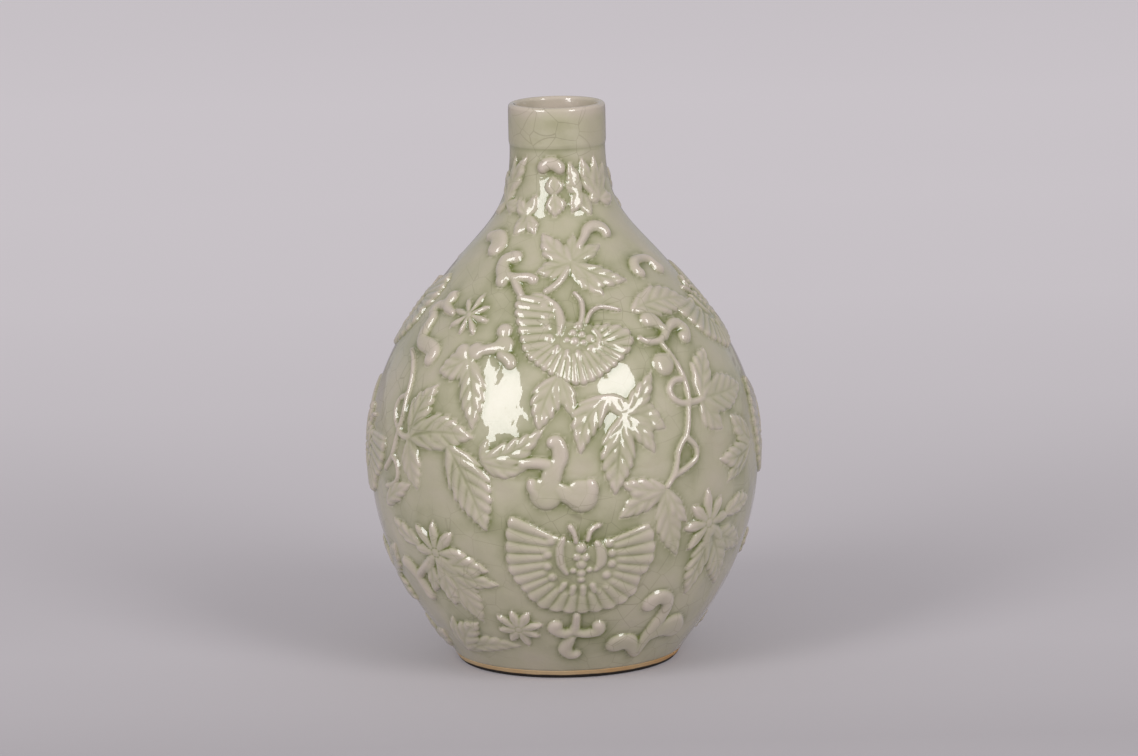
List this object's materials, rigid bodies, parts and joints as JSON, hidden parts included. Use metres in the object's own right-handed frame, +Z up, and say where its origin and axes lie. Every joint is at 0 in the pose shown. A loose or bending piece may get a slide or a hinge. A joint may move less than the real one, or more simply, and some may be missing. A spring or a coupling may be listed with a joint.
{
  "type": "bottle vase",
  "caption": "Round-bodied bottle vase with a short narrow neck, a plain collar, applied leaf, scroll and butterfly relief and a turned foot ring.",
  "frame": {"origin": "centre of the foot on the surface that the vase stands on", "axes": "+Z up along the axis of the vase, -Y towards the viewer, +X to the viewer's right"},
  "size_m": [0.1706, 0.1696, 0.2399],
  "materials": {
    "celadon_glaze": "glossy crackled celadon glaze",
    "celadon_relief": "glossy celadon glaze, thin and pale on the high edges",
    "biscuit_foot": "unglazed stoneware with a dark iron edge"
  },
  "bodies": {
    "root": {"butterfly_high": "celadon_relief", "butterfly_high_back": "celadon_relief", "butterfly_left": "celadon_relief", "butterfly_left_back": "celadon_relief", "butterfly_low": "celadon_relief", "butterfly_low_back": "celadon_relief", "butterfly_right": "celadon_relief", "butterfly_right_back": "celadon_relief", "flower_foot": "celadon_relief", "flower_foot_back": "celadon_relief", "flower_left": "celadon_relief", "flower_left_back": "celadon_relief", "flower_right": "celadon_relief", "flower_right_back": "celadon_relief", "foot_ring": "biscuit_foot", "leaf_veined": "celadon_relief", "leaf_veined_back": "celadon_relief", "leaves_centre": "celadon_relief", "leaves_centre_back": "celadon_relief", "leaves_foot": "celadon_relief", "leaves_foot_back": "celadon_relief", "leaves_left_high": "celadon_relief", "leaves_left_high_back": "celadon_relief", "leaves_right_edge": "celadon_relief", "leaves_right_edge_back": "celadon_relief", "leaves_right_low": "celadon_relief", "leaves_right_low_back": "celadon_relief", "leaves_shoulder": "celadon_relief", "leaves_shoulder_back": "celadon_relief", "lower_body": "celadon_glaze", "neck_collar": "celadon_glaze", "neck_leaves": "celadon_relief", "neck_leaves_back": "celadon_relief", "neck_leaves_left": "celadon_relief", "neck_leaves_left_back": "celadon_relief", "neck_leaves_right": "celadon_relief", "neck_leaves_right_back": "celadon_relief", "neck_scroll": "celadon_relief", "neck_scroll_back": "celadon_relief", "scroll_foot": "celadon_relief", "scroll_foot_back": "celadon_relief", "scroll_foot_right": "celadon_relief", "scroll_foot_right_back": "celadon_relief", "scroll_middle": "celadon_relief", "scroll_middle_back": "celadon_relief", "scroll_right": "celadon_relief", "scroll_right_back": "celadon_relief", "scroll_shoulder_left": "celadon_relief", "scroll_shoulder_left_back": "celadon_relief", "scroll_side": "celadon_relief", "scroll_side_back": "celadon_relief", "scroll_side_high": "celadon_relief", "scroll_side_high_back": "celadon_relief", "star_left": "celadon_relief", "star_left_back": "celadon_relief", "upper_body": "celadon_glaze", "vine_left": "celadon_relief", "vine_left_back": "celadon_relief", "vine_right": "celadon_relief", "vine_right_back": "celadon_relief"}
  },
  "joints": []
}
